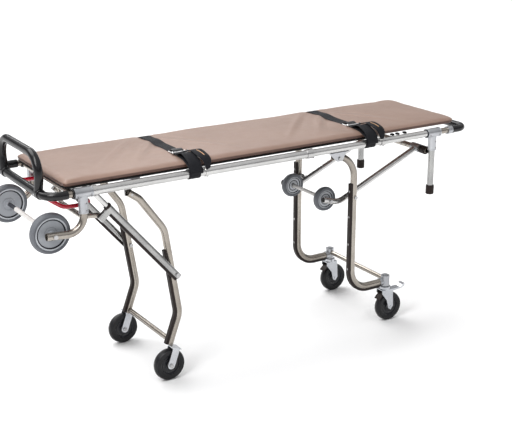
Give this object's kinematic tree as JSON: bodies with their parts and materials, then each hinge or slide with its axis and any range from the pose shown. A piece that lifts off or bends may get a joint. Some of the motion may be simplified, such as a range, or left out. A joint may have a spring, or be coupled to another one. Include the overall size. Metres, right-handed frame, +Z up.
{
  "type": "stretcher trolley",
  "caption": "Folding stretcher trolley: padded bed on a tube frame with straps, folding caster legs, load wheels and end handles.",
  "frame": {"origin": "middle of the trolley's length and width, at the floor under the casters", "axes": "+X towards the foot end with the posts and the pull-out handle, +Y to the far side, +Z up"},
  "size_m": [1.976, 0.5206, 0.971],
  "materials": {
    "rail_silver": "satin anodised",
    "cast_silver": "cast, satin",
    "anodised_tan": "champagne anodised, satin",
    "black_grip": "smooth, semi-gloss",
    "bolt_steel": "zinc plated",
    "cream_plastic": "matte",
    "black_rubber": "matte",
    "black_panel": "matte",
    "brown_vinyl": "fine-grain vinyl, satin",
    "black_webbing": "ribbed webbing",
    "buckle_steel": "polished",
    "grey_tyre": "smooth grey rubber",
    "black_tyre": "smooth black rubber",
    "zinc_plate": "bright zinc plated",
    "red_paint": "gloss"
  },
  "bodies": {
    "frame": {"side_rail_near": "rail_silver", "side_rail_far": "rail_silver", "load_end_tees": "cast_silver", "foot_end_tees": "cast_silver", "load_handle_bar": "black_grip", "load_handle_loop": "black_grip", "load_arm_near": "anodised_tan", "load_arm_far": "anodised_tan", "load_axle": "bolt_steel", "load_axle_sleeves": "cream_plastic", "load_end_tube": "anodised_tan", "strut_tube": "bolt_steel", "foot_cross_tube": "anodised_tan", "posts": "rail_silver", "post_feet": "black_rubber", "bed_panel": "black_panel", "mattress_tabs": "black_panel", "mattress": "brown_vinyl", "strap_load_end": "black_webbing", "strap_foot_end": "black_webbing", "strap_buckles": "buckle_steel", "leg_brackets": "cast_silver", "pivot_pins": "bolt_steel"},
    "foot_handle": {"foot_handle_bar": "black_grip", "foot_handle_tubes": "anodised_tan"},
    "load_wheel_near": {"load_wheel_near": "grey_tyre"},
    "load_wheel_far": {"load_wheel_far": "grey_tyre"},
    "front_leg": {"front_leg_near": "anodised_tan", "front_leg_far": "anodised_tan", "front_leg_cross_tube": "anodised_tan", "front_strips": "black_rubber", "front_fork_near": "zinc_plate", "front_fork_far": "zinc_plate", "front_leg_bolts": "bolt_steel"},
    "front_wheel_near": {"front_wheel_near": "black_tyre"},
    "front_wheel_far": {"front_wheel_far": "black_tyre"},
    "strut_inner": {"strut_inner_near": "rail_silver", "strut_inner_far": "rail_silver"},
    "strut_outer": {"strut_outer_near": "rail_silver", "strut_outer_far": "rail_silver", "strut_strips": "black_rubber", "strut_yoke": "anodised_tan"},
    "release_lever": {"release_lever": "red_paint"},
    "rear_leg": {"rear_leg_near": "anodised_tan", "rear_leg_far": "anodised_tan", "rear_strips": "black_rubber", "rear_leg_cross_tube": "anodised_tan", "rear_clamps": "cast_silver", "latch_bolts": "bolt_steel"},
    "rear_swivel_near": {"rear_swivel_near": "zinc_plate"},
    "rear_swivel_far": {"rear_swivel_far": "zinc_plate"},
    "rear_wheel_near": {"rear_wheel_near": "black_tyre"},
    "rear_wheel_far": {"rear_wheel_far": "black_tyre"},
    "brake_pedal": {"brake_pedal": "zinc_plate"},
    "pusher_arm": {"pusher_arm_near": "anodised_tan", "pusher_arm_far": "anodised_tan", "small_axle": "cream_plastic"},
    "small_wheel_near": {"small_wheel_near": "grey_tyre"},
    "small_wheel_far": {"small_wheel_far": "grey_tyre"}
  },
  "joints": [
    {"name": "foot_handle_slide", "type": "slide", "parent": "frame", "child": "foot_handle", "axis": [1, 0, 0], "range_m": [-0.04, 0.1]},
    {"name": "load_wheel_near_spin", "type": "hinge", "parent": "frame", "child": "load_wheel_near", "pos_m": [-0.913, -0.204, 0.681], "axis": [0, 1, 0], "continuous": true},
    {"name": "load_wheel_far_spin", "type": "hinge", "parent": "frame", "child": "load_wheel_far", "pos_m": [-0.913, 0.204, 0.681], "axis": [0, 1, 0], "continuous": true},
    {"name": "front_leg_fold", "type": "hinge", "parent": "frame", "child": "front_leg", "pos_m": [-0.588, 0, 0.764], "axis": [0, -1, 0], "range_deg": [0, 60]},
    {"name": "front_wheel_near_spin", "type": "hinge", "parent": "front_leg", "child": "front_wheel_near", "pos_m": [-0.461, -0.202, 0.0635], "axis": [0, 1, 0], "continuous": true},
    {"name": "front_wheel_far_spin", "type": "hinge", "parent": "front_leg", "child": "front_wheel_far", "pos_m": [-0.461, 0.202, 0.0635], "axis": [0, 1, 0], "continuous": true},
    {"name": "strut_inner_swing", "type": "hinge", "parent": "frame", "child": "strut_inner", "pos_m": [-0.753, 0, 0.812], "axis": [0, -1, 0], "range_deg": [0, 43]},
    {"name": "strut_outer_swing", "type": "hinge", "parent": "front_leg", "child": "strut_outer", "pos_m": [-0.427, 0, 0.43], "axis": [0, -1, 0], "range_deg": [-20, 0]},
    {"name": "release_lever_lift", "type": "hinge", "parent": "frame", "child": "release_lever", "pos_m": [-0.799, 0, 0.765], "axis": [0, 1, 0], "range_deg": [0, 6], "stiffness_Nm_per_rad": 2, "springref_deg": -5.73},
    {"name": "rear_leg_fold", "type": "hinge", "parent": "frame", "child": "rear_leg", "pos_m": [0.316, 0, 0.775], "axis": [0, -1, 0], "range_deg": [0, 58]},
    {"name": "rear_swivel_near_turn", "type": "hinge", "parent": "rear_leg", "child": "rear_swivel_near", "pos_m": [0.596, -0.202, 0.16], "axis": [0, 0, 1], "continuous": true},
    {"name": "rear_swivel_far_turn", "type": "hinge", "parent": "rear_leg", "child": "rear_swivel_far", "pos_m": [0.596, 0.202, 0.16], "axis": [0, 0, 1], "continuous": true},
    {"name": "rear_wheel_near_spin", "type": "hinge", "parent": "rear_swivel_near", "child": "rear_wheel_near", "pos_m": [0.615, -0.202, 0.0635], "axis": [0, 1, 0], "continuous": true},
    {"name": "rear_wheel_far_spin", "type": "hinge", "parent": "rear_swivel_far", "child": "rear_wheel_far", "pos_m": [0.615, 0.202, 0.0635], "axis": [0, 1, 0], "continuous": true},
    {"name": "brake_pedal_press", "type": "hinge", "parent": "rear_swivel_near", "child": "brake_pedal", "pos_m": [0.619, -0.202, 0.138], "axis": [0, 1, 0], "range_deg": [0, 10]},
    {"name": "pusher_arm_swing", "type": "hinge", "parent": "frame", "child": "pusher_arm", "pos_m": [0.782, 0, 0.738], "axis": [0, 1, 0], "range_deg": [0, 20]},
    {"name": "small_wheel_near_spin", "type": "hinge", "parent": "pusher_arm", "child": "small_wheel_near", "pos_m": [0.326, -0.117, 0.575], "axis": [0, 1, 0], "continuous": true},
    {"name": "small_wheel_far_spin", "type": "hinge", "parent": "pusher_arm", "child": "small_wheel_far", "pos_m": [0.326, 0.117, 0.575], "axis": [0, 1, 0], "continuous": true}
  ],
  "couplings": [
    {"joint": "strut_inner_swing", "follows": "front_leg_fold", "ratio": 0.6935},
    {"joint": "strut_outer_swing", "follows": "front_leg_fold", "ratio": -0.3065}
  ]
}
